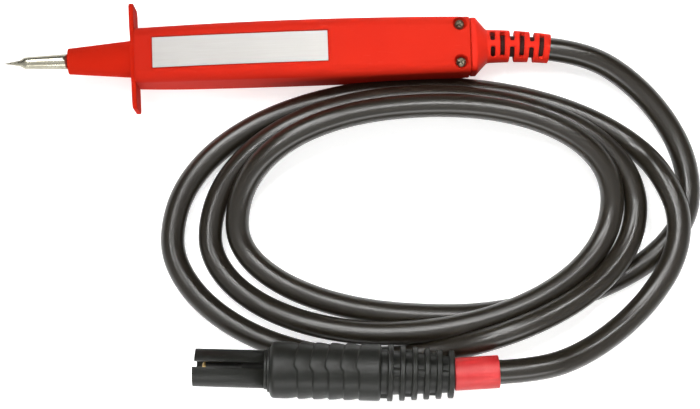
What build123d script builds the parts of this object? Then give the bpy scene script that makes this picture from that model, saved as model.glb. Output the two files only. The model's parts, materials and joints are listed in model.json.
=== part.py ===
from build123d import *
import math
import os

# A hand-held switched test probe with its lead and keyed plug. Millimetres, +Z up.
# The probe lies along X with its point towards -X and rests on its belly at Z = 0.

# Bare tip
tip_length = 21.5
needle_length = 5.8
needle_radius = 1.0
tip_shoulder_length = 1.7
rod_front_radius = 2.0
rod_rear_radius = 2.6
shank_radius = 2.0
stud_radius = 1.5
stud_length = 4.6

# Nose with its finger guard
nose_length = 22.5
nose_front_radius = 4.35
nose_rear_radius = 6.3
nose_edge_radius = 0.6
guard_thickness = 1.6
guard_width = 36.2
guard_height = 13.4
guard_corner_radius = 2.0
spigot_radius = 5.0
spigot_length = 6.0
spigot_collar_radius = 6.5
spigot_collar_width = 1.4
spigot_collar_gap = 0.2
guard_edge_radius = 0.4
shank_end_gap = 0.3

# Handle shells
body_length = 112.7
body_front_half_height = 9.0
body_middle_half_height = 10.8
body_rear_half_height = 8.4
body_front_half_width = 9.4
body_middle_half_width = 9.95
body_rear_half_width = 9.5
body_corner_radius = 4.0
body_wall = 2.0
belly_start = 22.0
belly_length = 65.0
seam_clearance = 0.05

# Rating plate
plate_length = 58.7
plate_width = 10.2
plate_setback = 35.5
plate_recess_depth = 0.5
plate_thickness = 0.35
plate_clearance = 0.35

# Shell screws
screw_setback = 3.4
screw_half_pitch = 6.4
screw_head_radius = 1.8
screw_head_height = 1.3
screw_shank_radius = 1.1
screw_reach = 13.5
screw_end_gap = 0.5
screw_sink_radius = 2.4
screw_sink_depth = 2.6
screw_boss_radius = 1.75
screw_collar_radius = 3.2
screw_floor = 1.2
screw_clearance = 0.04
recess_length = 2.2
recess_width = 0.5
recess_depth = 0.6

# Push button in its finger scoop
button_setback = 39.1
button_length = 14.0
button_width = 8.0
button_flange_length = 17.0
button_flange_width = 11.0
button_flange_thickness = 1.0
button_travel = 1.6
button_stem_radius = 1.7
button_proud = 2.2
button_edge_radius = 0.7
button_clearance = 0.2
button_seat_gap = 0.15
scoop_length = 26.0
scoop_width = 11.2
scoop_depth = 2.6
scoop_floor = 1.8
scoop_taper = 20.0

# Switch board
board_length = 36.0
board_width = 13.0
board_thickness = 1.6
board_lift = 1.4
board_offset = 6.0
board_post_radius = 1.3
board_post_half_span_x = 15.0
board_post_half_span_y = 5.0
board_clearance = 0.05
switch_size = 6.0
switch_height = 3.6
plunger_radius = 1.25
plunger_length = 2.0
plunger_proud = 0.8
plunger_ratio = 0.5
plunger_gap = 0.9
plunger_clearance = 0.08
terminal_radius = 0.35
terminal_half_pitch_x = 2.4
terminal_half_pitch_y = 2.3
terminal_proud = 0.6
terminal_clearance = 0.02
well_clearance = 0.1

# Return spring round the switch
spring_coil_radius = 4.8
spring_wire_radius = 0.28
spring_turns = 4.5
spring_end_gap = 0.05

# Lead: a jacket with one heavy core and two light ones
lead_radius = 4.0
main_core_radius = 1.2
main_core_height = 1.9
light_core_radius = 0.75
light_core_offset = 1.65
light_core_drop = 0.95
light_core_spread = 2.6
light_core_dip = 2.0
light_core_landing = 4.0
core_lead_in = 4.0
core_wander = 0.7
lead_reach = 19.6
joint_gap = 0.15

# Lead clamp
clamp_setback = 13.6
clamp_bar_length = 14.4
clamp_bar_width = 5.0
clamp_bar_thickness = 1.7
clamp_half_pitch = 5.75
clamp_boss_radius = 1.5
clamp_screw_radius = 0.75
clamp_head_radius = 1.6
clamp_head_height = 1.2
clamp_screw_grip = 6.0
clamp_screw_end_gap = 0.5
clamp_slot_width = 0.5
clamp_slot_depth = 0.4
clamp_bar_corner_radius = 1.2
clamp_clearance = 0.1

# Nut and soldering tag on the tip's stud
tag_thickness = 0.5
tag_radius = 3.0
tag_strip_width = 2.4
tag_height = 4.8
tag_barrel_radius = 1.3
tag_barrel_length = 5.0
nut_flats = 5.5
nut_thickness = 2.2
thread_clearance = 0.03

# Boot behind the handle
boot_gap = 0.6
boot_flange_width = 18.4
boot_flange_height = 16.2
boot_flange_length = 1.4
boot_cone_length = 3.8
boot_neck_radius = 5.7
boot_end_radius = 4.95
boot_neck_length = 21.4
boot_turn = 8.5
boot_spigot_radius = 5.3
boot_spigot_reach = 1.4
boot_bead_radius = 6.5
boot_bead_width = 0.6
boot_bore_clearance = 0.06
boot_slot_width = 1.5
boot_slot_pitch = 3.3
boot_slot_count = 6
boot_first_slot = 1.9
boot_rib_width = 2.0
boot_window_reach = 4.15
boot_slot_floor = 3.65

# Plug
plug_front = (-30.25, -105.2, 18.6)
plug_heading = -3.65
shroud_radius = 6.2
shroud_wall = 1.2
shroud_reach = 23.2
shroud_inset = 4.0
shroud_tenon_radius = 5.9
shroud_slot_width = 2.0
shroud_slot_roll = 9.0
shroud_step = 0.6
grip_radius = 9.3
grip_length = 38.1
grip_shoulder = 2.8
grip_bore_radius = 6.3
grip_groove_count = 5
grip_groove_first = 10.0
grip_groove_pitch = 4.98
grip_groove_depth = 0.35
grip_groove_width = 1.1
grip_edge = 0.6
collar_radius = 7.4
collar_width = 1.0
collar_step = 1.0
insert_front_depth = 16.0
insert_rear_length = 9.0
insert_clearance = 0.05
main_pin_radius = 2.0
main_pin_reach = 13.0
main_pin_body_radius = 2.3
switch_pin_radius = 0.8
switch_pin_offset = 3.4
switch_pin_reach = 10.0
main_pin_nose_radius = 0.8
switch_pin_nose_radius = 0.35
contact_tail = 1.5
fin_count = 6
fin_first = 3.1
fin_pitch = 3.96
fin_thickness = 1.8
fin_front_radius = 9.3
fin_rear_radius = 7.8
fin_core_front_radius = 7.4
fin_core_rear_radius = 5.9
fin_rib_rise = 1.0
fin_rib_width = 3.0
relief_bore_clearance = 0.3
relief_spigot_length = 6.0
plug_lead_inset = 11.3
sleeve_radius = 5.4
sleeve_length = 15.3
sleeve_gap = 0.6
sleeve_edge_radius = 0.4
sleeve_turn = 4.7

# Route of the loose lead, between the boot and the coil and between the coil and the plug
lead_exit_run = 13.0
probe_route = [
    (120.6, -13.0, 6.8),
    (132.6, -27.5, 4.2),
    (138.3, -43.0, 4.1),
    (136.4, -58.5, 4.1),
    (126.0, -72.8, 4.1),
    (109.5, -81.6, 4.1),
    (93.0, -86.5, 4.1),
]
plug_route = [
    (96.8, -105.9, 15.2),
    (110.3, -97.8, 12.4),
    (121.9, -87.2, 11.6),
    (130.6, -74.5, 12.3),
    (132.6, -60.0, 12.3),
    (128.3, -46.5, 11.2),
    (115.0, -34.5, 9.4),
]

# Oval coil lying beside the probe
coil_outer_centre = (47.8, -57.6)
coil_outer_radii = (90.0, 47.7)
coil_inner_centre = (47.4, -54.4)
coil_inner_radii = (59.3, 31.8)
coil_turn = 4.6
coil_height = 16.0
coil_edge_radius = 3.6
coil_clearance = 0.5
coil_lead_gap = 0.3

# Stations along X, worked out from the lengths above
boot_arc_radius = boot_neck_length / math.radians(boot_turn)
boot_reach = boot_arc_radius * math.sin(math.radians(boot_turn))
boot_lip = boot_end_radius * math.sin(math.radians(boot_turn))
probe_length = (
    tip_length + nose_length + guard_thickness + body_length
    + boot_gap + boot_flange_length + boot_cone_length + boot_reach + boot_lip
)
tip_x = -probe_length / 2
nose_x = tip_x + tip_length
guard_x = nose_x + nose_length
body_x = guard_x + guard_thickness
body_end_x = body_x + body_length
boot_x = body_end_x + boot_gap
neck_x = boot_x + boot_flange_length + boot_cone_length
spigot_end_x = body_x + spigot_length
axis_z = body_middle_half_height
belly_z = -body_middle_half_height
inner_floor_z = belly_z + scoop_depth + scoop_floor
button_x = body_x + button_setback
board_x = button_x + board_offset
plate_x = body_x + plate_setback
clamp_x = body_end_x - clamp_setback
lead_end_x = body_end_x - lead_reach
plunger_z = board_lift - switch_height - plunger_proud
stem_top_z = plunger_z - plunger_gap
flange_z = inner_floor_z + button_seat_gap
screw_x = body_end_x - screw_setback
grip_end = shroud_reach + grip_length
relief_length = fin_first + (fin_count - 1) * fin_pitch + fin_thickness / 2
relief_end = grip_end + relief_length


def rod(radius, start, length, direction=(1, 0, 0)):
    """A round bar from a start point along a direction."""
    plane = Plane(origin=start, z_dir=direction)
    return extrude(plane * Circle(radius), amount=length)


def upright(radius, x, y, low, high):
    """A round bar standing along Z."""
    return rod(radius, (x, y, low), high - low, (0, 0, 1))


def turned(points):
    """A solid of revolution about X from (x, radius) points."""
    outline = Polyline(*points, close=True)
    face = Plane.XZ * make_face(outline)
    return revolve(face, axis=Axis.X)


def smooth_path(points, radii=None):
    """Straight runs joined by arcs, each as large as its two runs allow."""
    spots = [Vector(*p) for p in points]
    if radii is None:
        radii = []
        for before, here, after in zip(spots, spots[1:], spots[2:]):
            turn = (here - before).get_angle(after - here)
            run = min((here - before).length, (after - here).length)
            radii.append(0.45 * run / math.tan(math.radians(turn / 2)))
    return FilletPolyline(*spots, radius=radii), radii


def tube(path, radius):
    """A round section swept along a path."""
    section = Plane(origin=path @ 0, z_dir=path % 0) * Circle(radius)
    return sweep(section, path=path)


def body_form(inset=0.0):
    """The handle's barrelled block, or the same block with every face moved in."""
    front = body_x + inset
    rear = body_end_x - inset
    middle = (body_x + body_end_x) / 2
    belly_front = body_x + belly_start
    belly_rear = belly_front + belly_length
    front_z = body_front_half_height - inset
    middle_z = body_middle_half_height - inset
    rear_z = body_rear_half_height - inset
    side = make_face([
        ThreePointArc((front, front_z), (middle, middle_z), (rear, rear_z)),
        Line((rear, rear_z), (rear, -rear_z)),
        TangentArc((belly_rear, -middle_z), (rear, -rear_z), tangent=(1, 0)),
        Line((belly_front, -middle_z), (belly_rear, -middle_z)),
        TangentArc((belly_front, -middle_z), (front, -front_z), tangent=(-1, 0)),
        Line((front, -front_z), (front, front_z)),
    ])
    front_y = body_front_half_width - inset
    middle_y = body_middle_half_width - inset
    rear_y = body_rear_half_width - inset
    plan = make_face([
        ThreePointArc((front, front_y), (middle, middle_y), (rear, rear_y)),
        Line((rear, rear_y), (rear, -rear_y)),
        ThreePointArc((front, -front_y), (middle, -middle_y), (rear, -rear_y)),
        Line((front, -front_y), (front, front_y)),
    ])
    tall = 2 * body_middle_half_height
    block = extrude(Plane.XZ * side, amount=tall, both=True) & extrude(plan, amount=tall, both=True)
    long_edges = [e for e in block.edges() if e.bounding_box().size.X > 1]
    return fillet(long_edges, body_corner_radius - inset)


def half_space(sign):
    """A block that covers everything above (1) or below (-1) the seam."""
    size = 2 * probe_length
    return Pos(0, 0, sign * size / 2) * Box(size, size, size)


def front_socket():
    """Room for the nose's spigot and its collar in the front wall."""
    return rod(spigot_radius + seam_clearance, (body_x - 1, 0, 0), body_wall + 2)


def rear_socket():
    """Room for the boot's spigot and its bead in the rear wall."""
    start = body_end_x - body_wall
    hole = rod(boot_spigot_radius + seam_clearance, (start - 1, 0, 0), body_wall + 2)
    groove_x = body_end_x - body_wall / 2 - boot_bead_width / 2 - seam_clearance
    groove = rod(boot_bead_radius + seam_clearance, (groove_x, 0, 0),
                 boot_bead_width + 2 * seam_clearance)
    return hole + groove


def ceiling_z(x):
    """Height of the handle's outer top face on its middle line."""
    middle = (body_x + body_end_x) / 2
    crown = ThreePointArc(
        (body_x, body_front_half_height), (middle, body_middle_half_height),
        (body_end_x, body_rear_half_height))
    centre = crown.arc_center
    return centre.Y + math.sqrt(crown.radius ** 2 - (x - centre.X) ** 2)


def plate_pocket(depth, length, width):
    """A slice of the handle's skin, as deep as asked, over the rating plate's place."""
    block = Pos(plate_x, 0, body_middle_half_height) * Box(length, width, 8)
    return block & (body_form() - body_form(depth))


def board_posts(low, high):
    """Four posts that hold the switch board."""
    return [
        upright(board_post_radius, board_x + i * board_post_half_span_x,
                j * board_post_half_span_y, low, high)
        for i in (-1, 1) for j in (-1, 1)
    ]


def corner_pad(side, low, high):
    """Solid corner between a screw boss and the handle's rear walls."""
    length = body_end_x - body_wall / 2 - screw_x
    width = body_rear_half_width - body_wall / 2 - screw_half_pitch
    middle = (screw_x + length / 2, side * (screw_half_pitch + width / 2), (low + high) / 2)
    return Pos(*middle) * Box(length, width, high - low)


def label_shell():
    """Upper half of the handle, with the plate's recess and the screw sinks."""
    outer = body_form()
    shell = (outer - body_form(body_wall)) & half_space(1)
    top = ceiling_z(screw_x)
    floor = top - screw_sink_depth
    for side in (-1, 1):
        y = side * screw_half_pitch
        shell += upright(screw_collar_radius, screw_x, y, floor - screw_floor, top) & outer
        shell += (upright(screw_boss_radius, screw_x, y, 0, floor) + corner_pad(side, 0, floor)) & outer
        clamp_y = side * clamp_half_pitch
        shell += upright(clamp_boss_radius, clamp_x, clamp_y, 0, ceiling_z(clamp_x) - 1)
        shell += upright(clamp_boss_radius, clamp_x, clamp_y,
                         -lead_radius - clamp_clearance, 0.5)
    posts = board_posts(board_lift + board_thickness + board_clearance, body_middle_half_height - 1)
    shell += [post & outer for post in posts]
    for side in (-1, 1):
        y = side * screw_half_pitch
        shell -= upright(screw_sink_radius, screw_x, y, floor, top + 3)
        shell -= upright(screw_shank_radius + screw_clearance, screw_x, y, -1, floor + 1)
        shell -= upright(clamp_screw_radius + screw_clearance, clamp_x,
                         side * clamp_half_pitch, -lead_radius - 1, clamp_screw_grip - lead_radius)
    shell -= plate_pocket(plate_recess_depth, plate_length + 2 * plate_clearance,
                          plate_width + 2 * plate_clearance)
    shell -= front_socket()
    shell -= rear_socket()
    return shell


def scoop_outline(grow):
    """Rounded oblong of the finger scoop, grown by a margin."""
    return SlotOverall(scoop_length + 2 * grow, scoop_width + 2 * grow)


def button_shell():
    """Lower half of the handle, with the finger scoop, board posts and screw bosses."""
    outer = body_form()
    shell = (outer - body_form(body_wall)) & half_space(-1)
    place = Pos(button_x, 0, 0)
    wall = extrude(place * Pos(0, 0, belly_z) * scoop_outline(scoop_floor), amount=scoop_depth + scoop_floor)
    shell += wall & outer
    for side in (-1, 1):
        y = side * screw_half_pitch
        boss = upright(screw_boss_radius, screw_x, y, -body_rear_half_height, 0)
        shell += (boss + corner_pad(side, -body_rear_half_height, 0)) & outer
    shell += board_posts(belly_z + body_wall / 2, board_lift)
    narrowing = scoop_depth * math.tan(math.radians(scoop_taper))
    rim = place * Pos(0, 0, belly_z + scoop_depth) * scoop_outline(-narrowing)
    scoop = extrude(rim, amount=-(scoop_depth + 0.5), taper=-scoop_taper)
    shell -= scoop
    hole = SlotOverall(button_length + 2 * button_clearance, button_width + 2 * button_clearance)
    shell -= extrude(place * Pos(0, 0, belly_z) * hole, amount=scoop_depth + scoop_floor + 1)
    for side in (-1, 1):
        y = side * screw_half_pitch
        top = ceiling_z(screw_x) - screw_sink_depth
        shell -= upright(screw_shank_radius + screw_clearance, screw_x, y,
                         top - screw_reach - screw_end_gap, 1)
        boss = upright(clamp_boss_radius + seam_clearance, clamp_x, side * clamp_half_pitch,
                       -lead_radius - 1, 1)
        shell -= boss
    shell -= front_socket()
    shell -= rear_socket()
    return shell


def rating_plate():
    """Thin blank plate that follows the crowned top face."""
    raised = plate_recess_depth - plate_thickness
    block = Pos(plate_x, 0, body_middle_half_height) * Box(plate_length, plate_width, 8)
    return block & (body_form(raised) - body_form(plate_recess_depth))


def probe_tip():
    """Plated rod with its ground point, shank and threaded stud."""
    needle_end = tip_x + needle_length
    rod_front = needle_end + tip_shoulder_length
    shank_end = spigot_end_x - shank_end_gap
    return turned([
        (tip_x, 0), (needle_end, needle_radius), (rod_front, rod_front_radius),
        (nose_x, rod_rear_radius), (nose_x, shank_radius), (shank_end, shank_radius),
        (shank_end, stud_radius), (spigot_end_x + stud_length, stud_radius),
        (spigot_end_x + stud_length, 0),
    ])


def finger_guard_nose():
    """Insulating nose cone, finger guard and spigot in one moulding."""
    collar_x = body_x + body_wall + spigot_collar_gap
    cone = turned([
        (nose_x, 0), (nose_x, nose_front_radius - nose_edge_radius),
        (nose_x + nose_edge_radius, nose_front_radius), (guard_x, nose_rear_radius),
        (body_x, nose_rear_radius), (body_x, spigot_radius), (collar_x, spigot_radius),
        (collar_x, spigot_collar_radius), (collar_x + spigot_collar_width, spigot_collar_radius),
        (collar_x + spigot_collar_width, spigot_radius), (spigot_end_x, spigot_radius),
        (spigot_end_x, 0),
    ])
    outline = Plane(origin=(guard_x, 0, 0), x_dir=(0, 1, 0), z_dir=(1, 0, 0))
    plate = extrude(outline * RectangleRounded(guard_width, guard_height, guard_corner_radius),
                    amount=guard_thickness)
    plate = fillet(plate.faces().sort_by(Axis.X)[0].edges(), guard_edge_radius)
    bore = rod(shank_radius + thread_clearance, (nose_x - 1, 0, 0), nose_length + 20)
    return cone + plate - bore


def tip_tag():
    """Soldering tag under the nut, with a barrel for the heavy core."""
    ring = rod(tag_radius, (spigot_end_x, 0, 0), tag_thickness)
    strip = Pos(spigot_end_x + tag_thickness / 2, 0, tag_height / 2)
    strip = strip * Box(tag_thickness, tag_strip_width, tag_height)
    barrel = rod(tag_barrel_radius, (spigot_end_x, 0, tag_height), tag_thickness + tag_barrel_length)
    hole = rod(stud_radius + thread_clearance, (spigot_end_x - 1, 0, 0), 4)
    return ring + strip + barrel - hole


def tip_nut():
    """Hexagon nut that pulls the tip back into the nose."""
    start = spigot_end_x + tag_thickness
    plane = Plane(origin=(start, 0, 0), x_dir=(0, 1, 0), z_dir=(1, 0, 0))
    hexagon = RegularPolygon(nut_flats / 2, 6, major_radius=False)
    blank = extrude(plane * hexagon, amount=nut_thickness)
    return blank - rod(stud_radius + thread_clearance, (start - 1, 0, 0), nut_thickness + 2)


def push_button():
    """Oblong button with a flange inside and a stem that reaches for the switch."""
    bottom = belly_z + scoop_depth - button_proud
    place = Pos(button_x, 0, 0)
    cap = extrude(place * Pos(0, 0, bottom) * SlotOverall(button_length, button_width),
                  amount=flange_z - bottom)
    cap = fillet(cap.faces().sort_by(Axis.Z)[0].edges(), button_edge_radius)
    flange = extrude(place * Pos(0, 0, flange_z) * SlotOverall(button_flange_length, button_flange_width),
                     amount=button_flange_thickness)
    stem = upright(button_stem_radius, button_x, 0, flange_z, stem_top_z)
    return cap + flange + stem


def button_spring():
    """Open coil between the button's flange and the switch board."""
    low = flange_z + button_flange_thickness + spring_wire_radius + spring_end_gap
    high = board_lift - spring_wire_radius - spring_end_gap
    pitch = (high - low) / spring_turns
    coil = Helix(pitch, high - low, spring_coil_radius, center=(button_x, 0, low))
    return tube(coil, spring_wire_radius)


def switch_board():
    """Circuit board with four post seats and holes for the switch's legs."""
    board = Pos(board_x, 0, board_lift + board_thickness / 2)
    board = board * Box(board_length, board_width, board_thickness)
    for i in (-1, 1):
        for j in (-1, 1):
            board -= upright(terminal_radius + terminal_clearance, button_x + i * terminal_half_pitch_x,
                             j * terminal_half_pitch_y, 0, board_lift + board_thickness + 1)
    return board


def microswitch():
    """Square switch body under the board, open below for its plunger."""
    low = board_lift - switch_height
    case = Pos(button_x, 0, board_lift - switch_height / 2)
    case = case * Box(switch_size, switch_size, switch_height)
    well = plunger_length - plunger_proud + plunger_ratio * button_travel + well_clearance
    case -= upright(plunger_radius + plunger_clearance, button_x, 0, low - 1, low + well)
    return case


def switch_plunger():
    """Small plunger that the button's stem lifts."""
    return upright(plunger_radius, button_x, 0, plunger_z, plunger_z + plunger_length)


def switch_legs():
    """Four legs that pass through the board."""
    top = board_lift + board_thickness + terminal_proud
    return [
        upright(terminal_radius, button_x + i * terminal_half_pitch_x,
                j * terminal_half_pitch_y, board_lift, top)
        for i in (-1, 1) for j in (-1, 1)
    ]


def shell_screws():
    """Two screws with recessed heads, up through both shells' bosses."""
    floor = ceiling_z(screw_x) - screw_sink_depth
    screws = []
    for side in (-1, 1):
        y = side * screw_half_pitch
        head = upright(screw_head_radius, screw_x, y, floor, floor + screw_head_height)
        shank = upright(screw_shank_radius, screw_x, y, floor - screw_reach, floor + 0.1)
        socket = Pos(screw_x, y, floor + screw_head_height)
        screw = head + shank - socket * Box(recess_length, recess_width, 2 * recess_depth)
        screws.append(screw - socket * Box(recess_width, recess_length, 2 * recess_depth))
    return screws


def clamp_bar():
    """Bar that presses the lead against the upper shell."""
    top = -lead_radius - clamp_clearance
    bar = Pos(clamp_x, 0, top - clamp_bar_thickness / 2)
    bar = bar * Box(clamp_bar_width, clamp_bar_length, clamp_bar_thickness)
    bar = fillet(bar.edges().filter_by(Axis.Z), clamp_bar_corner_radius)
    for side in (-1, 1):
        bar -= upright(clamp_screw_radius + clamp_clearance, clamp_x, side * clamp_half_pitch,
                       top - clamp_bar_thickness - 1, top + 1)
    return bar


def clamp_screws():
    """Two small screws from below, through the bar into the upper shell."""
    seat = -lead_radius - clamp_clearance - clamp_bar_thickness
    tip = clamp_screw_grip - lead_radius - clamp_screw_end_gap
    screws = []
    for side in (-1, 1):
        y = side * clamp_half_pitch
        head = upright(clamp_head_radius, clamp_x, y, seat - clamp_head_height, seat)
        shank = upright(clamp_screw_radius, clamp_x, y, seat - 0.2, tip)
        slot = Pos(clamp_x, y, seat - clamp_head_height)
        slot = slot * Box(4 * clamp_head_radius, clamp_slot_width, 2 * clamp_slot_depth)
        screws.append(head + shank - slot)
    return screws


def boot_line():
    """Centre line of the lead from the clamp through the bent boot."""
    end = Vector(neck_x + boot_reach, -boot_arc_radius * (1 - math.cos(math.radians(boot_turn))), 0)
    straight = Line((lead_end_x, 0, 0), (neck_x, 0, 0))
    bend = TangentArc((neck_x, 0, 0), end, tangent=(1, 0, 0))
    return straight, bend


def lead_tail():
    """The lead's own jacket inside the handle and the boot."""
    straight, bend = boot_line()
    return tube(Wire([straight, bend]), lead_radius)


def cable_boot():
    """Flexible boot: a flange like the handle's end, a cone, and a slotted bent neck."""
    flange_plane = Plane(origin=(boot_x, 0, 0), x_dir=(0, 1, 0), z_dir=(1, 0, 0))
    outline = RectangleRounded(boot_flange_width, boot_flange_height, body_corner_radius)
    flange = extrude(flange_plane * outline, amount=boot_flange_length)
    cone_plane = flange_plane.offset(boot_flange_length)
    cone = loft([cone_plane * outline, flange_plane.offset(neck_x - boot_x) * Circle(boot_neck_radius)],
                ruled=True)
    bend = boot_line()[1]
    rings = []
    for i in range(5):
        share = i / 4
        radius = boot_neck_radius + share * (boot_end_radius - boot_neck_radius)
        rings.append(Plane(origin=bend @ share, x_dir=(0, 0, 1), z_dir=bend % share) * Circle(radius))
    neck = loft(rings)
    bead_x = body_end_x - body_wall / 2 - boot_bead_width / 2
    spigot = rod(boot_spigot_radius, (body_end_x - boot_spigot_reach, 0, 0), boot_spigot_reach + boot_gap)
    bead = rod(boot_bead_radius, (bead_x, 0, 0), boot_bead_width)
    boot = flange + cone + neck + spigot + bead
    bore_line = Wire([Line((spigot_end_x, 0, 0), (neck_x, 0, 0)), bend])
    boot -= tube(bore_line, lead_radius + boot_bore_clearance)
    for i in range(boot_slot_count):
        share = (boot_first_slot + i * boot_slot_pitch) / boot_neck_length
        place = Plane(origin=bend @ share, x_dir=bend % share, z_dir=(0, 0, 1)).location
        for side in (-1, 1):
            boot -= place * boot_slot(i, side)
    return boot


def boot_slot(row, side):
    """One cutter of a slot row: rows alternate between top and bottom and the two sides."""
    reach = 4 * boot_neck_radius
    if row == 0:
        window = Box(boot_slot_width, boot_window_reach - boot_rib_width / 2, reach)
        middle = (boot_window_reach + boot_rib_width / 2) / 2
        return Pos(0, side * middle, 0) * window
    if row % 2:
        window = Box(boot_slot_width, 2 * boot_window_reach, reach / 2)
        return Pos(0, 0, side * (boot_slot_floor + reach / 4)) * window
    window = Box(boot_slot_width, reach / 2, reach)
    return Pos(0, side * (boot_rib_width / 2 + reach / 4), 0) * window


def main_core():
    """Heavy core from the lead's end to the tip's soldering tag."""
    start = spigot_end_x + tag_thickness + tag_barrel_length + joint_gap
    end = lead_end_x - joint_gap
    run = end - start
    points = [
        (start, 0, tag_height), (start + core_lead_in, 0, tag_height),
        (start + run * 0.3, core_wander, tag_height + core_wander),
        (start + run * 0.55, -core_wander, tag_height + core_wander / 2),
        (start + run * 0.75, core_wander / 2, tag_height),
        (end - 2 * core_lead_in, 0, main_core_height), (end, 0, main_core_height),
    ]
    path, radii = smooth_path(points)
    return tube(path, main_core_radius)


def switch_cores():
    """Two light cores from the lead's end up to the board's underside."""
    cores = []
    board_end = board_x + board_length / 2
    for side in (-1, 1):
        wide, narrow = side * light_core_spread, side * light_core_offset
        landing = board_end - light_core_landing
        points = [
            (lead_end_x - joint_gap, narrow, -light_core_drop),
            (lead_end_x - 2 * core_lead_in, narrow, -light_core_drop),
            (board_end + 2 * core_lead_in, wide, -light_core_dip),
            (landing, wide, -light_core_dip),
            (landing, wide, board_lift - joint_gap),
        ]
        path, radii = smooth_path(points)
        cores.append(tube(path, light_core_radius))
    return cores


def plug_place():
    """Location that carries the plug's own frame to its place: u along its axis."""
    return Pos(*plug_front) * Rot(0, 0, plug_heading)


def plug_shroud():
    """Open tube with a key slot along its top, upper half cut back a little."""
    length = shroud_reach + shroud_inset
    sleeve = rod(shroud_radius, (0, 0, 0), shroud_reach)
    sleeve += rod(shroud_tenon_radius, (0, 0, 0), length)
    sleeve -= rod(shroud_radius - shroud_wall, (-1, 0, 0), length + 2)
    slot = Box(shroud_reach, shroud_slot_width, 2 * shroud_radius)
    slot = Rot(-shroud_slot_roll, 0, 0) * Pos(shroud_reach / 2, 0, shroud_radius) * slot
    step = Rot(-shroud_slot_roll - 90, 0, 0) * Pos(0, 0, shroud_radius) * Box(
        2 * shroud_step, 3 * shroud_radius, 2 * shroud_radius)
    return sleeve - slot - step


def plug_grip():
    """Round grip with a shoulder, a front collar and shallow finger grooves."""
    front = shroud_reach
    grip = turned([
        (front, 0), (front, collar_radius - collar_step),
        (front + collar_width, collar_radius - collar_step),
        (front + collar_width, collar_radius), (front + grip_shoulder, grip_radius),
        (grip_end - grip_edge, grip_radius), (grip_end, grip_radius - grip_edge), (grip_end, 0),
    ])
    for i in range(grip_groove_count):
        u = front + grip_groove_first + i * grip_groove_pitch
        ring = rod(grip_radius + 1, (u, 0, 0), grip_groove_width)
        grip -= ring - rod(grip_radius - grip_groove_depth, (u - 1, 0, 0), grip_groove_width + 2)
    grip -= rod(shroud_tenon_radius + insert_clearance, (front - 1, 0, 0), shroud_inset + 1)
    return grip - rod(grip_bore_radius, (front + shroud_inset, 0, 0), grip_length)


def plug_insert():
    """Insulator that carries the contacts in the shroud and the grip."""
    shroud_end = shroud_reach + shroud_inset
    front = rod(shroud_radius - shroud_wall - insert_clearance, (insert_front_depth, 0, 0),
                shroud_end - insert_front_depth)
    rear = rod(grip_bore_radius - insert_clearance, (shroud_end, 0, 0), insert_rear_length)
    insert = front + rear
    bore_length = contact_end() - insert_front_depth
    insert -= rod(main_pin_body_radius + insert_clearance, (insert_front_depth - 1, 0, 0), bore_length)
    for side in (-1, 1):
        insert -= rod(switch_pin_radius + insert_clearance,
                      (insert_front_depth - 1, side * switch_pin_offset, 0), bore_length)
    return insert


def contact_end():
    """Where the contacts end behind the insert."""
    return shroud_reach + shroud_inset + insert_rear_length + contact_tail


def main_contact():
    """Round main pin with a rounded front end."""
    start = insert_front_depth - main_pin_reach
    pin = rod(main_pin_radius, (start, 0, 0), main_pin_reach)
    pin = fillet(pin.faces().sort_by(Axis.X)[0].edges(), main_pin_nose_radius)
    return pin + rod(main_pin_body_radius, (insert_front_depth, 0, 0), contact_end() - insert_front_depth)


def switch_contacts():
    """Two thin pins beside the main pin."""
    start = insert_front_depth - switch_pin_reach
    pins = []
    for side in (-1, 1):
        pin = rod(switch_pin_radius, (start, side * switch_pin_offset, 0), contact_end() - start)
        pins.append(fillet(pin.faces().sort_by(Axis.X)[0].edges(), switch_pin_nose_radius))
    return pins


def strain_relief():
    """Finned relief behind the grip, with ribs that alternate between the fins."""
    relief = rod(grip_bore_radius - insert_clearance, (grip_end - relief_spigot_length, 0, 0),
                 relief_spigot_length)
    for i in range(fin_count):
        share = i / (fin_count - 1)
        centre = grip_end + fin_first + i * fin_pitch
        low = max(centre - fin_pitch, grip_end)
        core = fin_core_front_radius + share * (fin_core_rear_radius - fin_core_front_radius)
        fin = fin_front_radius + share * (fin_rear_radius - fin_front_radius)
        relief += rod(core, (low, 0, 0), centre - low)
        relief += rod(fin, (centre - fin_thickness / 2, 0, 0), fin_thickness)
        tall = 2 * (core + fin_rib_rise)
        size = (fin_rib_width, tall) if i % 2 == 0 else (tall, fin_rib_width)
        relief += Pos((low + centre) / 2, 0, 0) * Box(centre - low, *size)
    bore = rod(lead_radius + relief_bore_clearance, (grip_end - relief_spigot_length - 1, 0, 0),
               relief_length + relief_spigot_length + 2)
    return relief - bore


def sleeve_direction():
    """Direction of the lead behind the relief, in the plug's own frame."""
    turn = math.radians(sleeve_turn)
    return Vector(math.cos(turn), math.sin(turn), 0)


def plug_tail():
    """The lead's own jacket inside the plug and the marker sleeve."""
    corner = Vector(relief_end, 0, 0)
    end = corner + sleeve_direction() * (sleeve_gap + sleeve_length)
    start = Vector(grip_end - plug_lead_inset, 0, 0)
    path = FilletPolyline(start, corner, end, radius=5 * lead_radius)
    return tube(path, lead_radius)


def marker_sleeve():
    """Coloured sleeve shrunk on the lead behind the relief."""
    heading = sleeve_direction()
    start = Vector(relief_end, 0, 0) + heading * sleeve_gap
    sleeve = rod(sleeve_radius, start, sleeve_length, heading)
    sleeve = fillet(sleeve.edges().filter_by(GeomType.CIRCLE), sleeve_edge_radius)
    return sleeve - rod(lead_radius + boot_bore_clearance, start - heading, sleeve_length + 2, heading)


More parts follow.
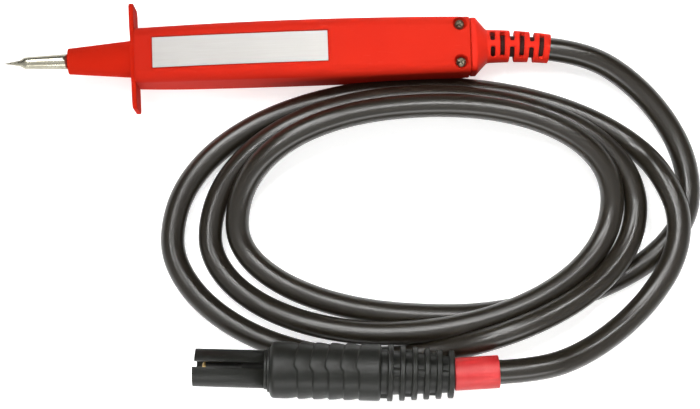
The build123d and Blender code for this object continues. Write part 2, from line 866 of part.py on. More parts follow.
def plug_main_core():
    """Heavy core from the lead's end to the main pin."""
    start = contact_end() + joint_gap
    end = grip_end - plug_lead_inset - joint_gap
    points = [(start, 0, 0), (start + core_lead_in, 0, 0),
              (end - core_lead_in, 0, main_core_height), (end, 0, main_core_height)]
    path, radii = smooth_path(points)
    return tube(path, main_core_radius)


def plug_switch_cores():
    """Two light cores from the lead's end to the thin pins."""
    start = contact_end() + joint_gap
    end = grip_end - plug_lead_inset - joint_gap
    cores = []
    for side in (-1, 1):
        wide, narrow = side * switch_pin_offset, side * light_core_offset
        points = [
            (start, wide, 0), (start + core_lead_in, wide, 0),
            (end - core_lead_in, narrow, -light_core_drop), (end, narrow, -light_core_drop),
        ]
        path, radii = smooth_path(points)
        cores.append(tube(path, light_core_radius))
    return cores


def lead_coil(grow=0.0):
    """Outer shape of the loose oval coil, clear of the handle and the plug."""
    long_outer, short_outer = (radius + grow for radius in coil_outer_radii)
    long_inner, short_inner = (radius - grow for radius in coil_inner_radii)
    outer = Pos(*coil_outer_centre) * Rot(0, 0, coil_turn) * Ellipse(long_outer, short_outer)
    inner = Pos(*coil_inner_centre) * Rot(0, 0, coil_turn) * Ellipse(long_inner, short_inner)
    ring = extrude(outer, amount=coil_height + grow)
    ring = fillet(ring.edges(), coil_edge_radius)
    ring -= extrude(inner, amount=coil_height + grow)
    depth = 2 * coil_outer_radii[1]
    keep_out_y = depth / 2 - body_middle_half_width - coil_clearance
    keep_out = Pos(coil_outer_centre[0], keep_out_y, coil_height / 2)
    ring -= keep_out * Box(4 * coil_outer_radii[0], depth, 2 * coil_height)
    room = rod(grip_radius + coil_clearance, (-2, 0, 0), relief_end + sleeve_length + 4)
    return ring - plug_place() * room


def lead_tube(start, direction, route):
    """A loose stretch of lead from a piece's end up to the coil."""
    points = [start, start + direction * lead_exit_run] + [Vector(*p) for p in route]
    path, radii = smooth_path(points)
    run = tube(path, lead_radius)
    print("arc radii", [round(r, 1) for r in radii], "length", round(path.length, 1),
          "volume ratio", round(run.volume / (math.pi * lead_radius ** 2 * path.length), 4))
    loose = run - lead_coil(coil_lead_gap)
    return max(loose.solids(), key=lambda s: s.volume)


def probe_lead():
    """Loose stretch from the boot to the coil."""
    bend = boot_line()[1]
    start = (bend @ 1) + Vector(0, 0, axis_z)
    return lead_tube(start, bend % 1, probe_route)


def plug_lead():
    """Loose stretch from the marker sleeve to the coil."""
    local = Vector(relief_end, 0, 0) + sleeve_direction() * (sleeve_gap + sleeve_length)
    start = (plug_place() * Pos(*local)).position
    heading = math.radians(plug_heading + sleeve_turn)
    direction = Vector(math.cos(heading), math.sin(heading), 0)
    return lead_tube(start, direction, plug_route)


def write(name, shape, place=Pos(0, 0, 0)):
    """Write one node as a STEP file."""
    pieces = shape if isinstance(shape, list) else [shape]
    solids = [place * solid for piece in pieces for solid in piece.solids()]
    node = solids[0] if len(solids) == 1 else Compound(children=solids)
    node.label = name
    export_step(node, f"parts/{name}.step")
    print(name, len(solids), round(sum(s.volume for s in solids), 1))


os.makedirs("parts", exist_ok=True)
probe = Pos(0, 0, axis_z)
plug = plug_place()

write("probe_tip", probe_tip(), probe)
write("finger_guard_nose", finger_guard_nose(), probe)
write("tip_tag", tip_tag(), probe)
write("tip_nut", tip_nut(), probe)
write("label_shell", label_shell(), probe)
write("button_shell", button_shell(), probe)
write("rating_plate", rating_plate(), probe)
write("shell_screws", shell_screws(), probe)
write("push_button", push_button(), probe)
write("button_spring", button_spring(), probe)
write("switch_board", switch_board(), probe)
write("microswitch", microswitch(), probe)
write("switch_plunger", switch_plunger(), probe)
write("switch_legs", switch_legs(), probe)
write("clamp_bar", clamp_bar(), probe)
write("clamp_screws", clamp_screws(), probe)
write("cable_boot", cable_boot(), probe)
write("lead_tail", lead_tail(), probe)
write("main_core", main_core(), probe)
write("switch_cores", switch_cores(), probe)
write("plug_shroud", plug_shroud(), plug)
write("plug_grip", plug_grip(), plug)
write("plug_insert", plug_insert(), plug)
write("main_contact", main_contact(), plug)
write("switch_contacts", switch_contacts(), plug)
write("strain_relief", strain_relief(), plug)
write("plug_tail", plug_tail(), plug)
write("marker_sleeve", marker_sleeve(), plug)
write("plug_main_core", plug_main_core(), plug)
write("plug_switch_cores", plug_switch_cores(), plug)
write("coiled_lead", lead_coil())
write("probe_lead", probe_lead())
write("plug_lead", plug_lead())
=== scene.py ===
import json
import math

import bmesh
import bpy
from mathutils import Matrix, Vector


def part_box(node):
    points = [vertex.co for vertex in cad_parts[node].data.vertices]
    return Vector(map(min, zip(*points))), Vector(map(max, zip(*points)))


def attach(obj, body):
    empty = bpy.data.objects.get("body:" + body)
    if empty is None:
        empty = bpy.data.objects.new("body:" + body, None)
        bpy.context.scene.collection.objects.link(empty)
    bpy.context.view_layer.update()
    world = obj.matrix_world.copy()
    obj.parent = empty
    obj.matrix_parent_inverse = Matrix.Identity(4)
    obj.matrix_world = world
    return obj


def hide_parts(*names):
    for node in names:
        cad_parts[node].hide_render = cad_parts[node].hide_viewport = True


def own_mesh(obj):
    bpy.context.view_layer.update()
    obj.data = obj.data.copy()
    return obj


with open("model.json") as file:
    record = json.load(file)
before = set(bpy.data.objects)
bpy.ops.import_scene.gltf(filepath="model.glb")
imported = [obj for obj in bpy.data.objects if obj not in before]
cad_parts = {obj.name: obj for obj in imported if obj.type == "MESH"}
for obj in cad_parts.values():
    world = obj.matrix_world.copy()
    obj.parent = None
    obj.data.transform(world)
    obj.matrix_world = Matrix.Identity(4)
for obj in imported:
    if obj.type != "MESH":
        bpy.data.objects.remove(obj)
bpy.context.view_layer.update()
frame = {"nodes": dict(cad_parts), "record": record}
nodes = frame["nodes"]
mm = 0.001


# node helpers

class Value:
    # a socket that adds Math nodes when it is used in sums
    def __init__(self, graph, socket):
        self.graph, self.socket = graph, socket

    def maths(self, operation, first, second):
        return self.graph.node("ShaderNodeMath", {"operation": operation}, {0: first, 1: second})

    def __add__(self, other):
        return self.maths("ADD", self, other)

    def __radd__(self, other):
        return self.maths("ADD", other, self)

    def __sub__(self, other):
        return self.maths("SUBTRACT", self, other)

    def __rsub__(self, other):
        return self.maths("SUBTRACT", other, self)

    def __mul__(self, other):
        return self.maths("MULTIPLY", self, other)

    def __rmul__(self, other):
        return self.maths("MULTIPLY", other, self)

    def __truediv__(self, other):
        return self.maths("DIVIDE", self, other)

    def __mod__(self, other):
        return self.maths("MODULO", self, other)


class Graph:
    # nodes of a material, a world or a geometry tree
    def __init__(self, owner):
        self.owner = owner
        tree = owner
        if not isinstance(owner, bpy.types.NodeTree):
            owner.use_nodes = True
            tree = owner.node_tree
        self.nodes, self.links = tree.nodes, tree.links
        self.nodes.clear()

    def node(self, kind, settings, inputs, output=0):
        made = self.nodes.new(kind)
        for key, setting in settings.items():
            if key == "stops":
                self.setRamp(made.color_ramp, setting)
            else:
                setattr(made, key, setting)
        for key, value in inputs.items():
            for entry in value if isinstance(value, list) else [value]:
                if isinstance(entry, Value):
                    self.links.new(entry.socket, made.inputs[key])
                else:
                    made.inputs[key].default_value = entry
        return None if output is None else Value(self, made.outputs[output])

    def setRamp(self, ramp, stops):
        while len(ramp.elements) < len(stops):
            ramp.elements.new(0.5)
        for element, (position, tone) in zip(ramp.elements, stops):
            element.position = position
            element.color = (tone, tone, tone, 1.0)


class Look(Graph):
    # one procedural material; patterns read Object coordinates, in metres
    def __init__(self, name):
        super().__init__(bpy.data.materials.new(name))
        self.place = self.node("ShaderNodeTexCoord", {}, {}, "Object")

    def stretched(self, scale, turn=(0.0, 0.0, 0.0)):
        return self.node("ShaderNodeMapping", {}, {
            "Vector": self.place, "Scale": scale, "Rotation": turn})

    def noise(self, scale, detail=2.0, roughness=0.5, along=None):
        return self.node("ShaderNodeTexNoise", {}, {
            "Vector": along or self.place, "Scale": scale, "Detail": detail,
            "Roughness": roughness})

    def cells(self, scale):
        return self.node("ShaderNodeTexVoronoi", {"feature": "F1"}, {
            "Vector": self.place, "Scale": scale}, "Distance")

    def ramp(self, factor, *stops):
        return self.node("ShaderNodeValToRGB", {"stops": stops}, {"Fac": factor})

    def mix(self, factor, first, second):
        return self.node("ShaderNodeMix", {"data_type": "RGBA"}, {
            0: factor, 6: first, 7: second}, 2)

    def blend(self, factor, name):
        first, second = tones[name]
        return self.mix(factor, shade(*first), shade(*second))

    def bump(self, height, strength, distance, below=None):
        inputs = {"Height": height, "Strength": strength, "Distance": distance}
        if below:
            inputs["Normal"] = below
        return self.node("ShaderNodeBump", {}, inputs, "Normal")

    def surface(self, inputs):
        shader = self.node("ShaderNodeBsdfPrincipled", {}, inputs, "BSDF")
        self.node("ShaderNodeOutputMaterial", {}, {"Surface": shader}, None)
        return self.owner


class Builder(Graph):
    # a geometry tree with named inputs; grow() returns the plain mesh it makes
    def __init__(self, name, sizes):
        tree = bpy.data.node_groups.new(name, "GeometryNodeTree")
        super().__init__(tree)
        self.sizes, self.identifiers = sizes, {}
        kinds = {int: "NodeSocketInt", float: "NodeSocketFloat", Vector: "NodeSocketVector"}
        for key, size in sizes.items():
            socket = tree.interface.new_socket(key, in_out="INPUT", socket_type=kinds[type(size)])
            self.identifiers[key] = socket.identifier
        tree.interface.new_socket("Geometry", in_out="OUTPUT", socket_type="NodeSocketGeometry")
        self.entry = self.nodes.new("NodeGroupInput")

    def given(self, key):
        return Value(self, self.entry.outputs[key])

    def join(self, *shapes):
        return self.node("GeometryNodeJoinGeometry", {}, {"Geometry": list(shapes)})

    def moved(self, shape, offset=(0, 0, 0), turn=(0, 0, 0), scale=(1, 1, 1)):
        return self.node("GeometryNodeTransform", {}, {
            "Geometry": shape, "Translation": offset, "Rotation": turn, "Scale": scale})

    def vector(self, x, y, z):
        return self.node("ShaderNodeCombineXYZ", {}, {0: x, 1: y, 2: z})

    def index(self):
        return self.node("GeometryNodeInputIndex", {}, {})

    def grow(self, shape, material):
        solid = self.node("GeometryNodeRealizeInstances", {}, {"Geometry": shape})
        solid = self.node("GeometryNodeSetMaterial", {}, {"Geometry": solid, "Material": material})
        self.node("NodeGroupOutput", {}, {"Geometry": solid}, None)
        holder = newPiece(self.owner.name, bpy.data.meshes.new(self.owner.name))
        modifier = holder.modifiers.new("grow", "NODES")
        modifier.node_group = self.owner
        for key, size in self.sizes.items():
            modifier[self.identifiers[key]] = size
        graph = bpy.context.evaluated_depsgraph_get()
        mesh = bpy.data.meshes.new_from_object(holder.evaluated_get(graph), depsgraph=graph)
        holder.modifiers.remove(modifier)
        bpy.data.objects.remove(holder)
        return mesh


def newPiece(name, mesh):
    piece = bpy.data.objects.new(name, mesh)
    bpy.context.scene.collection.objects.link(piece)
    return piece


# camera and light

camera = {
    "aim": (0.0229, -0.0509, 0.0),
    "distance": 0.588,
    "tilt": 7.8,  # degrees from straight down
    "turn": -2.1,
    "lens": 88.5,
    "sensor": 36.0,
    "nearClip": 0.01,
}
light = {
    "skyBright": 0.66,
    "skyDark": 0.04,  # the far side of the room is dim
    "skyTurn": (0.50, -0.30),  # where it starts and ends growing bright
    "key": {"place": (-0.297, 0.530, 0.942), "size": (0.30, 0.56), "power": 7.8},
    "overhead": {"place": (-0.05, -0.16, 1.10), "size": (0.90, 0.80), "power": 1.2},
    "side": {"place": (0.14, 0.25, 1.05), "size": (0.20, 0.20), "power": 0.036,
             "aim": (0.045, 0.0, 0.0), "spread": 14.0},
    "grid": {"place": (-0.02, 0.10, 1.0), "size": (0.14, 0.14), "power": 0.011,
             "aim": (0.075, -0.110, 0.0), "spread": 9.0},
    "gridLeft": {"place": (-0.29, 0.04, 1.0), "size": (0.24, 0.24), "power": 0.045,
                 "aim": (0.095, -0.075, 0.0), "spread": 8.0},
    "gridRight": {"place": (0.38, 0.42, 1.0), "size": (0.26, 0.26), "power": 0.055,
                  "aim": (0.095, -0.095, 0.0), "spread": 8.0},
    "front": {"place": (0.10, -1.15, 0.55), "size": (1.2, 0.35), "power": 7.0},
}


def placeCamera():
    made = bpy.data.objects.new("camera", bpy.data.cameras.new("camera"))
    bpy.context.scene.collection.objects.link(made)
    tilt, turn = math.radians(camera["tilt"]), math.radians(camera["turn"])
    made.rotation_euler = (tilt, 0, turn)
    back = Matrix.Rotation(turn, 3, "Z") @ Vector((0, -math.sin(tilt), math.cos(tilt)))
    made.location = Vector(camera["aim"]) + camera["distance"] * back
    made.data.lens = camera["lens"]
    made.data.sensor_width = camera["sensor"]
    made.data.clip_start = camera["nearClip"]
    bpy.context.scene.camera = made


def addLamp(name, place, size, power, aim=(0.02, -0.05, 0.0), spread=180.0):
    lamp = bpy.data.lights.new(name, "AREA")
    lamp.shape = "RECTANGLE"
    lamp.size, lamp.size_y = size
    lamp.energy = power
    lamp.spread = math.radians(spread)
    made = bpy.data.objects.new(name, lamp)
    made.location = place
    towards = Vector(aim) - Vector(place)
    made.rotation_euler = towards.to_track_quat("-Z", "Y").to_euler()
    bpy.context.scene.collection.objects.link(made)


def lightRoom():
    room = Graph(bpy.data.worlds.new("room"))
    facing = room.node("ShaderNodeSeparateXYZ", {}, {
        "Vector": room.node("ShaderNodeTexCoord", {}, {}, "Generated")}, "Y")
    start, stop = light["skyTurn"]
    share = room.node("ShaderNodeMapRange", {"interpolation_type": "SMOOTHSTEP"}, {
        "Value": facing, "From Min": start, "From Max": stop,
        "To Min": light["skyDark"], "To Max": light["skyBright"]})
    sky = room.node("ShaderNodeBackground", {}, {"Color": (1, 1, 1, 1), "Strength": share})
    room.node("ShaderNodeOutputWorld", {}, {"Surface": sky}, None)
    bpy.context.scene.world = room.owner
    for name in ("key", "overhead", "side", "grid", "gridLeft", "gridRight", "front"):
        addLamp(name + "Softbox", **light[name])
    bpy.context.scene.view_settings.view_transform = "Standard"


placeCamera()
lightRoom()
print("stage: camera and light")


# finishes

# the two colours of each finish, between which its pattern wanders
tones = {
    "redMoulding": [(0.455, 0.0115, 0.003), (0.50, 0.017, 0.005)],
    "redRubber": [(0.53, 0.013, 0.004), (0.60, 0.022, 0.009)],
    "redSleeve": [(0.43, 0.015, 0.015), (0.50, 0.034, 0.034)],
    "blackLead": [(0.0120, 0.0096, 0.0062), (0.0160, 0.0128, 0.0084)],
    "blackMoulding": [(0.0085, 0.0090, 0.0070), (0.0140, 0.0146, 0.0116)],
    "blackKey": [(0.014, 0.014, 0.015), (0.030, 0.030, 0.031)],
    "platedMetal": [(0.44, 0.42, 0.335), (0.32, 0.30, 0.235)],
    "darkSteel": [(0.085, 0.074, 0.050), (0.190, 0.168, 0.120)],
    "plateFoil": [(0.325, 0.313, 0.295), (0.385, 0.371, 0.350)],
    "contactMetal": [(0.80, 0.58, 0.24), (0.48, 0.31, 0.13)],
    # painted shade: the dark colour along the contact pin
    "pinSleeve": [(0.010, 0.010, 0.009), (0.018, 0.018, 0.016)],
    "pinBrass": [(0.70, 0.50, 0.20), (0.50, 0.33, 0.14)],
    # painted shade: near-black for the plug's inside, darker than its black plastic
    "deepBlack": [(0.0035, 0.0035, 0.0030), (0.0070, 0.0068, 0.0058)],
    # painted reflection: the lead's tail inside the boot tinted dark red, as if lit by the boot's
    # red walls
    "tailJacket": [(0.026, 0.0070, 0.0045), (0.040, 0.0110, 0.0080)],
    "boardGreen": [(0.010, 0.085, 0.030), (0.020, 0.130, 0.050)],
    "redCore": [(0.50, 0.020, 0.015), (0.62, 0.040, 0.030)],
    "paleFloor": [(0.69, 0.69, 0.686), (0.72, 0.72, 0.716)],
}
scuffed = (0.66, 0.12, 0.08)
handledFoil = (0.33, 0.318, 0.300)
boardTrack = (0.035, 0.21, 0.075)


def shade(red, green, blue):
    return (red, green, blue, 1.0)


def redMoulding(name, gloss, rough):
    look = Look(name)
    cloud = look.noise(38.0, detail=3.0)
    grain = look.noise(2600.0, detail=2.0, roughness=0.6)
    slanted = look.stretched((0.15, 1.0, 1.0), turn=(0, 0, 0.4))
    scuff = look.ramp(look.noise(900.0, detail=2.0, roughness=0.7, along=slanted),
                      (0.66, 0.0), (0.74, 1.0))
    colour = look.blend(cloud, "redMoulding")
    colour = look.mix(scuff * 0.10, colour, shade(*scuffed))
    return look.surface({
        "Base Color": colour,
        "Roughness": rough + 0.10 * look.noise(300.0) + 0.08 * scuff,
        "Normal": look.bump(grain, strength=0.22, distance=0.00008),
        "Specular IOR Level": gloss,
    })


def redRubber():
    look = Look("redRubber")
    bloom = look.ramp(look.noise(120.0, detail=4.0, roughness=0.6), (0.35, 0.0), (0.75, 1.0))
    grain = look.noise(1900.0, detail=3.0, roughness=0.6)
    colour = look.blend(bloom, "redRubber")
    return look.surface({
        "Base Color": colour,
        "Roughness": 0.52 + 0.14 * look.noise(420.0, detail=3.0),
        "Normal": look.bump(grain, strength=0.25, distance=0.0001),
        "Specular IOR Level": 0.10,
    })


def redSleeve():
    look = Look("redSleeve")
    wave = look.noise(210.0, detail=2.0, roughness=0.5, along=look.stretched((1.0, 0.35, 0.35)))
    patch = look.ramp(look.noise(160.0, detail=3.0), (0.40, 0.0), (0.72, 1.0))
    colour = look.blend(patch, "redSleeve")
    waved = look.bump(wave, strength=0.5, distance=0.0004)
    grain = look.noise(2400.0, detail=2.0)
    return look.surface({
        "Base Color": colour,
        "Roughness": 0.40 + 0.14 * look.noise(500.0),
        "Normal": look.bump(grain, strength=0.15, distance=0.00006, below=waved),
        "Specular IOR Level": 0.4,
    })


def blackLead():
    look = Look("blackLead")
    cloud = look.noise(26.0, detail=2.0)
    colour = look.blend(cloud, "blackLead")
    return look.surface({
        "Base Color": colour,
        "Roughness": 0.27 + 0.03 * cloud,
        "Specular IOR Level": 0.5,
    })


def blackMoulding():
    look = Look("blackMoulding")
    rubbed = look.ramp(look.noise(420.0, detail=4.0, roughness=0.65), (0.55, 0.0), (0.80, 1.0))
    grain = look.noise(2800.0, detail=2.0, roughness=0.6)
    colour = look.blend(rubbed, "blackMoulding")
    return look.surface({
        "Base Color": colour,
        "Roughness": 0.36 + 0.12 * look.noise(260.0, detail=3.0) + 0.06 * rubbed,
        "Normal": look.bump(grain, strength=0.20, distance=0.00008),
        "Specular IOR Level": 0.28,
    })


def blackKey():
    look = Look("blackKey")
    worn = look.ramp(look.noise(500.0, detail=4.0, roughness=0.6), (0.50, 0.0), (0.85, 1.0))
    grain = look.noise(2400.0, detail=2.0, roughness=0.6)
    colour = look.blend(worn, "blackKey")
    return look.surface({
        "Base Color": colour,
        "Roughness": 0.46 + 0.12 * look.noise(350.0, detail=3.0),
        "Normal": look.bump(grain, strength=0.25, distance=0.0001),
    })


def platedMetal():
    look = Look("platedMetal")
    lines = look.noise(90.0, detail=3.0, roughness=0.6, along=look.stretched((60.0, 1.0, 1.0)))
    stain = look.ramp(look.noise(260.0, detail=4.0, roughness=0.7), (0.45, 0.0), (0.80, 1.0))
    colour = look.blend(stain, "platedMetal")
    return look.surface({
        "Base Color": colour,
        "Metallic": 1.0,
        "Roughness": 0.20 + 0.12 * lines + 0.10 * stain,
        "Normal": look.bump(lines, strength=0.10, distance=0.00004),
    })


def darkSteel():
    look = Look("darkSteel")
    grain = look.noise(1400.0, detail=3.0, roughness=0.6)
    colour = look.blend(grain, "darkSteel")
    return look.surface({
        "Base Color": colour,
        "Metallic": 1.0,
        "Roughness": 0.40 + 0.16 * grain,
        "Normal": look.bump(grain, strength=0.2, distance=0.00005),
    })


def plateFoil():
    look = Look("plateFoil")
    brushed = look.noise(1600.0, detail=3.0, roughness=0.6, along=look.stretched((0.04, 1.0, 1.0)))
    handled = look.ramp(look.noise(70.0, detail=4.0, roughness=0.6), (0.40, 0.0), (0.75, 1.0))
    colour = look.blend(brushed, "plateFoil")
    colour = look.mix(handled * 0.25, colour, shade(*handledFoil))
    return look.surface({
        "Base Color": colour,
        "Metallic": 0.15,
        "Roughness": 0.36 + 0.12 * brushed + 0.10 * handled,
        "Normal": look.bump(brushed, strength=0.06, distance=0.00004),
    })


def contactMetal():
    look = Look("contactMetal")
    lines = look.noise(120.0, detail=3.0, roughness=0.6, along=look.stretched((50.0, 1.0, 1.0)))
    tarnish = look.ramp(look.noise(300.0, detail=4.0, roughness=0.65), (0.42, 0.0), (0.78, 1.0))
    colour = look.blend(tarnish, "contactMetal")
    return look.surface({
        "Base Color": colour,
        "Metallic": 1.0,
        "Roughness": 0.22 + 0.14 * lines + 0.14 * tarnish,
        "Normal": look.bump(lines, strength=0.08, distance=0.00004),
    })


def pinSleeve():
    # painted shade: the pin is black along its length, standing for the shade in the shroud's slot,
    # with a bare brass end
    look = Look("pinSleeve")
    along = look.node("ShaderNodeSeparateXYZ", {}, {"Vector": look.node("ShaderNodeMapping", {}, {
        "Vector": look.place, "Location": pin["shift"]})}, "X")
    bare = look.ramp(along * (0.5 / pin["half"]) + 0.5, (0.03, 1.0), (0.04, 0.0))
    grain = look.noise(900.0, detail=3.0, roughness=0.6)
    sleeve = look.blend(grain, "pinSleeve")
    brass = look.blend(grain, "pinBrass")
    return look.surface({
        "Base Color": look.mix(bare, sleeve, brass),
        "Metallic": bare,
        "Roughness": 0.50 - 0.20 * bare + 0.10 * grain,
        "Normal": look.bump(grain, strength=0.15, distance=0.00005),
    })


def deepBlack():
    # the plug's inside: black plastic, painted darker still as painted shade where it shows in the
    # shroud's slot
    look = Look("deepBlack")
    grain = look.noise(1200.0, detail=3.0, roughness=0.6)
    colour = look.blend(grain, "deepBlack")
    return look.surface({
        "Base Color": colour,
        "Roughness": 0.60 + 0.15 * grain,
        "Normal": look.bump(grain, strength=0.2, distance=0.00005),
        "Specular IOR Level": 0.08,
    })


# the black jacket inside the boot, tinted dark red as a painted reflection of the boot's red walls
def tailJacket():
    look = Look("tailJacket")
    dust = look.noise(700.0, detail=4.0, roughness=0.6)
    colour = look.blend(dust, "tailJacket")
    return look.surface({
        "Base Color": colour,
        "Roughness": 0.62 + 0.14 * dust,
        "Normal": look.bump(dust, strength=0.2, distance=0.00006),
        "Specular IOR Level": 0.15,
    })


def boardGreen():
    look = Look("boardGreen")
    weave = look.cells(1500.0)
    winding = look.noise(170.0, detail=0.0, along=look.stretched((1.0, 2.4, 1.0)))
    tracks = look.ramp(winding, (0.47, 0.0), (0.50, 1.0), (0.56, 1.0), (0.59, 0.0))
    colour = look.blend(weave * 0.5, "boardGreen")
    colour = look.mix(tracks * 0.8, colour, shade(*boardTrack))
    return look.surface({
        "Base Color": colour,
        "Roughness": 0.30 + 0.12 * look.noise(500.0),
        "Normal": look.bump(tracks, strength=0.35, distance=0.00004),
    })


def redCore():
    look = Look("redCore")
    streak = look.noise(800.0, detail=2.0, roughness=0.5, along=look.stretched((0.1, 1.0, 1.0)))
    colour = look.blend(streak, "redCore")
    return look.surface({
        "Base Color": colour,
        "Roughness": 0.38 + 0.12 * streak,
        "Normal": look.bump(streak, strength=0.12, distance=0.00005),
    })


def paleFloor():
    look = Look("paleFloor")
    tone = look.noise(3.0, detail=3.0, roughness=0.5)
    colour = look.blend(tone, "paleFloor")
    return look.surface({
        "Base Color": colour,
        "Roughness": 0.62 + 0.06 * look.noise(9.0),
        "Emission Color": colour,
        "Emission Strength": 0.86,
    })


# the pin's middle and half length place its bare end
pinLow, pinHigh = [Vector(corner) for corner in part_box("main_contact")]
pin = {"shift": tuple(-(pinLow + pinHigh) / 2), "half": (pinHigh.x - pinLow.x) / 2}
finish = {
    "redMoulding": redMoulding("redMoulding", gloss=0.10, rough=0.68),
    "redGuard": redMoulding("redGuard", gloss=0.04, rough=0.74),
    "deepBlack": deepBlack(),
    "redRubber": redRubber(),
    "redSleeve": redSleeve(),
    "blackLead": blackLead(),
    "blackMoulding": blackMoulding(),
    "blackKey": blackKey(),
    "platedMetal": platedMetal(),
    "darkSteel": darkSteel(),
    "plateFoil": plateFoil(),
    "contactMetal": contactMetal(),
    "pinSleeve": pinSleeve(),
    "tailJacket": tailJacket(),
    "boardGreen": boardGreen(),
    "redCore": redCore(),
}
print("stage: finishes")


# mesh helpers

slotOf = {part["node"]: part["material_slot"] for part in frame["record"]["subparts"]}
weld = {"copied": 2e-6, "sliver": 1e-7, "made": 1e-6}  # in metres
near = 0.02 * mm  # a vertex this close to a face lies on it
crease = {"copied": 32, "turned": 40, "grip": 38, "screws": 30}  # sharper edges stay crisp


def wear(piece, finishName):
    piece.data.materials.clear()
    piece.data.materials.append(finish[finishName])


def standFor(piece, finishName, slot, body, *cadNodes):
    wear(piece, finishName)
    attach(piece, body)
    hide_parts(*cadNodes)


def smoothUnder(mesh, degrees):
    mesh.shade_smooth()
    mesh.set_sharp_from_angle(angle=math.radians(degrees))


def weldedCopy(name, node):
    mesh = nodes[node].data.copy()
    mesh.name = name
    shell = bmesh.new()
    shell.from_mesh(mesh)
    bmesh.ops.remove_doubles(shell, verts=shell.verts, dist=weld["copied"])
    bmesh.ops.dissolve_degenerate(shell, edges=shell.edges, dist=weld["sliver"])
    shell.to_mesh(mesh)
    shell.free()
    smoothUnder(mesh, crease["copied"])
    return newPiece(name, mesh)


def lathe(profile, around, radiusAt=None):
    # turns a closed loop of (along, radius) points about X; radiusAt may change a radius by angle
    ring, verts, faces = len(profile), [], []
    for step in range(around):
        angle = 2 * math.pi * step / around
        for along, radius in profile:
            reach = radiusAt(along, radius, angle) if radiusAt else radius
            verts.append((along * mm, reach * math.sin(angle) * mm, reach * math.cos(angle) * mm))
    for step in range(around):
        here, there = step * ring, (step + 1) % around * ring
        for spot in range(ring):
            after = (spot + 1) % ring
            faces.append((here + spot, there + spot, there + after, here + after))
    mesh = bpy.data.meshes.new("turned")
    mesh.from_pydata(verts, [], faces)
    return mesh


def finishMesh(mesh, place, degrees):
    # puts a mesh in its place, with its faces outward and its edges crisp
    mesh.transform(place)
    solid = bmesh.new()
    solid.from_mesh(mesh)
    bmesh.ops.remove_doubles(solid, verts=solid.verts, dist=weld["made"])
    bmesh.ops.recalc_face_normals(solid, faces=solid.faces)
    solid.to_mesh(mesh)
    solid.free()
    smoothUnder(mesh, degrees)
    return mesh


def joined(*meshes):
    whole = bmesh.new()
    for mesh in meshes:
        whole.from_mesh(mesh)
    result = bpy.data.meshes.new("joined")
    whole.to_mesh(result)
    whole.free()
    return result


def softened(piece, voxel, rounds):
    # remeshes a copied CAD piece and relaxes it, so that its edges are moulded
    remesh = piece.modifiers.new("remesh", "REMESH")
    remesh.mode, remesh.voxel_size = "VOXEL", voxel
    relax = piece.modifiers.new("relax", "SMOOTH")
    relax.factor, relax.iterations = 0.5, rounds
    graph = bpy.context.evaluated_depsgraph_get()
    mesh = bpy.data.meshes.new_from_object(piece.evaluated_get(graph), depsgraph=graph)
    piece.modifiers.clear()
    mesh.shade_smooth()
    piece.data = mesh
    return piece


# floor

floor = {"half": 3.0}


def layFloor():
    half = floor["half"]
    mesh = bpy.data.meshes.new("floor")
    mesh.from_pydata([(-half, -half, 0), (half, -half, 0), (half, half, 0), (-half, half, 0)],
                     [], [(0, 1, 2, 3)])
    made = newPiece("floor", mesh)
    made.data.materials.append(paleFloor())


layFloor()


# lead

lead = {
    "radius": 0.0040,
    "length": 1.27,
    "centre": (0.0476, -0.0560),
    "turn": -2.1,
    "pointsPerQuarter": 6,
    "smoothness": 8,
    "roundness": 7,
    "coilStart": ("bottom", 0.0020, -0.0339, 0.0041),
}
# from the boot, out and round to the floor, and in under the coil
bootStretch = [
    (0.0920, -0.0016, 0.0108), (0.1049, -0.0035, 0.0108), (0.1206, -0.0130, 0.0068),
    (0.1326, -0.0275, 0.0042), (0.1383, -0.0430, 0.0041), (0.1374, -0.0595, 0.0041),
    (0.1260, -0.0728, 0.0041), (0.1095, -0.0816, 0.0041), (0.0930, -0.0865, 0.0041),
    (0.0775, -0.0892, 0.0041), (0.0630, -0.0907, 0.0041),
]
# from the coil over the first strand and up to the plug's sleeve
plugStretch = [
    (0.1283, -0.0465, 0.0112), (0.1333, -0.0600, 0.0123), (0.1306, -0.0745, 0.0123),
    (0.1219, -0.0872, 0.0116), (0.1103, -0.0978, 0.0124), (0.0968, -0.1059, 0.0152),
    (0.0831, -0.1101, 0.0186), (0.0701, -0.1104, 0.0186),
]
# quarter turns: side it ends at, across, along, squareness, heights on the way in mm
coilQuarters = [
    ("left", -0.0630, -0.0034, 2.00, (4.1, 4.1, 4.1, 4.1, 4.1, 5.2)),
    ("top", 0.0052, 0.0352, 2.15, (9.4, 14.2, 16.9, 17.6, 17.6, 17.6)),
    ("right", 0.0632, 0.0036, 2.12, (17.6, 17.4, 17.0, 15.9, 13.2, 9.6)),
    ("bottom", -0.0116, -0.0403, 1.97, (9.0, 10.6, 12.1, 12.2, 11.0, 9.3)),
    ("left", -0.0721, -0.0068, 2.00, (7.6, 5.6, 4.3, 4.1, 4.1, 4.1)),
    ("top", 0.0022, 0.0395, 2.05, (4.8, 7.4, 10.0, 10.8, 10.8, 10.8)),
    ("right", 0.0714, 0.0016, 2.10, (10.8, 10.6, 10.4, 9.8, 8.4, 7.6)),
    ("bottom", -0.0208, -0.0486, 1.94, (9.5, 13.0, 17.0, 18.0, 8.5, 4.2)),
    ("left", -0.0848, -0.0078, 1.90, (4.1, 4.1, 4.1, 4.1, 4.1, 4.1)),
    ("top", 0.0025, 0.0436, 2.08, (4.1, 4.1, 4.1, 4.1, 4.1, 4.1)),
    ("right", 0.0844, 0.0005, 2.00, (4.1, 4.1, 4.1, 4.6, None, None)),
]


